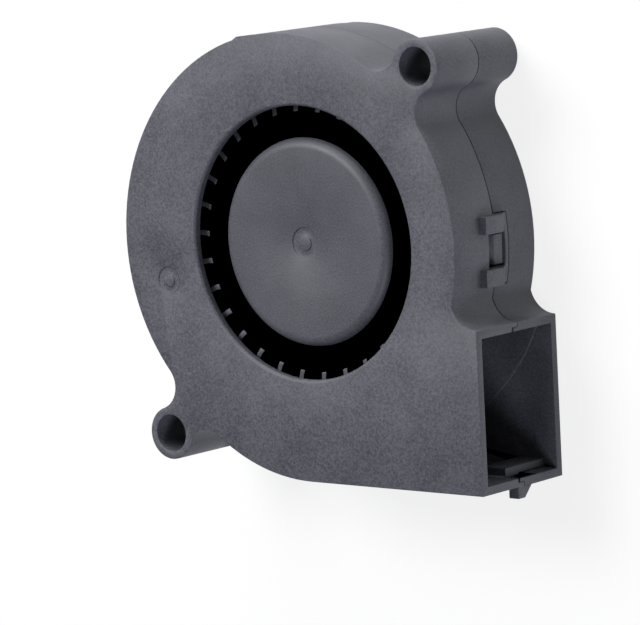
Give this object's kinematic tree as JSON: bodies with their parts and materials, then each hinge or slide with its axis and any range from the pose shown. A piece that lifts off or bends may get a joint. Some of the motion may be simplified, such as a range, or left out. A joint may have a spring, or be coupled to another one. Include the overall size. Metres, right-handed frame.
{
  "type": "centrifugal dc blower",
  "caption": "Flat scroll-shaped centrifugal blower in two snap-fit black plastic shells, with a round inlet, a bladed impeller, a rectangular side outlet and diagonal mounting lugs.",
  "frame": {"origin": "where the rotor axis meets the rear mounting face", "axes": "+Z along the rotor axis out of the inlet, +X the way the outlet blows, +Y across"},
  "size_m": [0.0512, 0.0529, 0.015],
  "materials": {
    "housing_plastic": "fine-grained black moulded plastic",
    "impeller_plastic": "fine-grained black moulded plastic",
    "cap_plastic": "smooth black plastic",
    "yoke_steel": "drawn and plated steel",
    "magnet": "bonded ferrite",
    "brass": "turned brass",
    "shaft_steel": "ground steel",
    "bearing_steel": "polished bearing steel",
    "cage_metal": "pressed metal",
    "core_steel": "stacked laminations",
    "bobbin_plastic": "natural nylon",
    "coil_wire": "enamelled copper wire",
    "pin_metal": "tinned wire",
    "board": "green solder mask over glass fibre",
    "chip_body": "moulded epoxy",
    "ceramic": "ceramic",
    "resistor_body": "thick film on ceramic"
  },
  "bodies": {
    "housing": {"front_housing": "housing_plastic", "rear_housing": "housing_plastic", "bearing_tube": "brass", "bearing_cap": "cap_plastic", "upper_bearing_outer_ring": "bearing_steel", "upper_bearing_shields": "bearing_steel", "lower_bearing_outer_ring": "bearing_steel", "lower_bearing_shields": "bearing_steel", "stator_core": "core_steel", "upper_bobbin": "bobbin_plastic", "lower_bobbin": "bobbin_plastic", "stator_coils": "coil_wire", "winding_pins": "pin_metal", "circuit_board": "board", "hall_sensor": "chip_body", "driver_chip": "chip_body", "filter_capacitor": "ceramic", "chip_resistors": "resistor_body"},
    "rotor": {"impeller": "impeller_plastic", "rotor_yoke": "yoke_steel", "ring_magnet": "magnet", "hub_bushing": "brass", "rotor_shaft": "shaft_steel", "preload_spring": "shaft_steel", "shaft_washer": "shaft_steel", "retaining_clip": "shaft_steel", "upper_bearing_inner_ring": "bearing_steel", "lower_bearing_inner_ring": "bearing_steel"},
    "upper_ball_set": {"upper_bearing_balls": "bearing_steel", "upper_bearing_cage": "cage_metal"},
    "lower_ball_set": {"lower_bearing_balls": "bearing_steel", "lower_bearing_cage": "cage_metal"}
  },
  "joints": [
    {"name": "impeller_spin", "type": "hinge", "parent": "housing", "child": "rotor", "pos_m": [0, 0, 0.0075], "axis": [0, 0, 1], "continuous": true},
    {"name": "upper_balls_roll", "type": "hinge", "parent": "housing", "child": "upper_ball_set", "pos_m": [0, 0, 0.0075], "axis": [0, 0, 1], "continuous": true},
    {"name": "lower_balls_roll", "type": "hinge", "parent": "housing", "child": "lower_ball_set", "pos_m": [0, 0, 0.0075], "axis": [0, 0, 1], "continuous": true}
  ],
  "couplings": [
    {"joint": "upper_balls_roll", "follows": "impeller_spin", "ratio": 0.3875},
    {"joint": "lower_balls_roll", "follows": "impeller_spin", "ratio": 0.3875}
  ]
}
